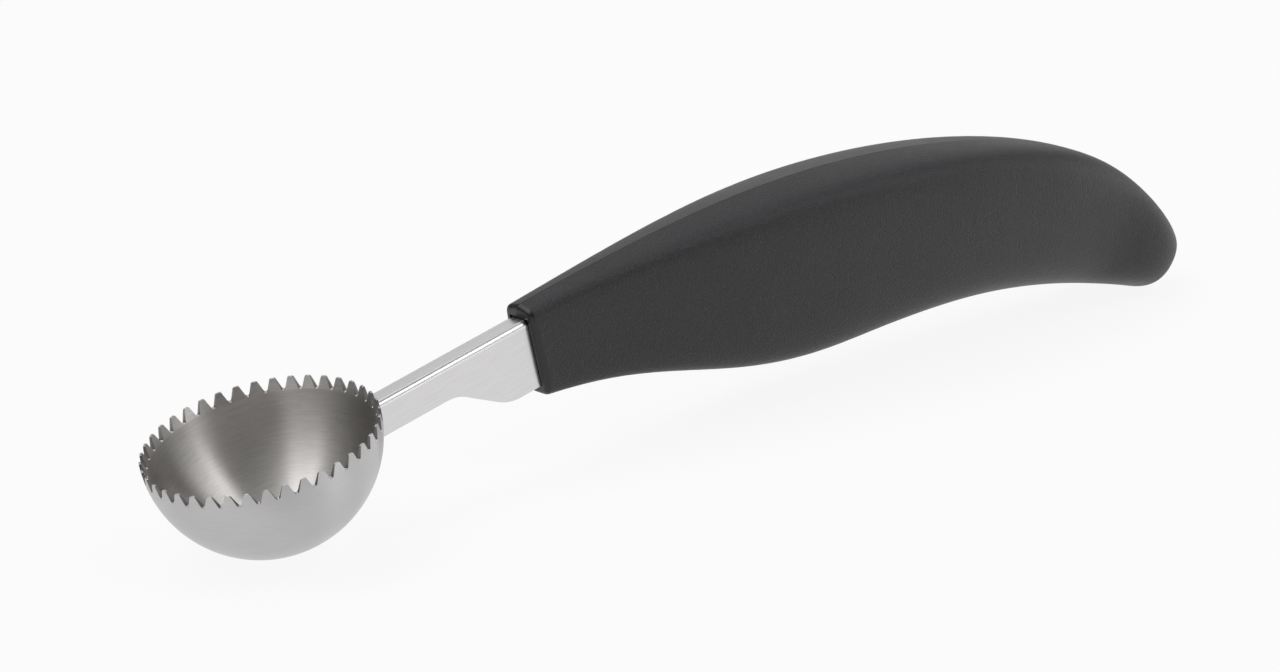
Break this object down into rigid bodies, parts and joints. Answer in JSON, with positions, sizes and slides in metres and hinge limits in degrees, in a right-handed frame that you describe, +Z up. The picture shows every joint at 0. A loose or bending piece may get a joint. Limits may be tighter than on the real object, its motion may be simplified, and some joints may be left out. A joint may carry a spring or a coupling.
{
  "type": "melon baller",
  "caption": "Half-ball scoop with a serrated rim on a folded sheet-steel shank, set in a curved two-part moulded handle.",
  "frame": {"origin": "middle of the bottom of the bounding box, on the table that the tool rests on", "axes": "+X from the scoop towards the tail of the handle, +Y across the tool, +Z up, with the scoop open upwards"},
  "size_m": [0.173, 0.03, 0.03],
  "materials": {
    "bowl_steel": "brushed in rings inside, satin outside",
    "weld_steel": "dressed and polished weld metal",
    "shank_steel": "satin, brushed along its length",
    "plug_plastic": "smooth moulded",
    "handle_plastic": "matte, fine spark-eroded grain, smooth at the mouth",
    "pin_steel": "ground"
  },
  "bodies": {
    "root": {"scoop_bowl": "bowl_steel", "neck_weld": "weld_steel", "shank": "shank_steel", "channel_plug": "plug_plastic", "handle_shell_left": "handle_plastic", "handle_shell_right": "handle_plastic", "front_tang_pin": "pin_steel", "rear_tang_pin": "pin_steel"}
  },
  "joints": []
}
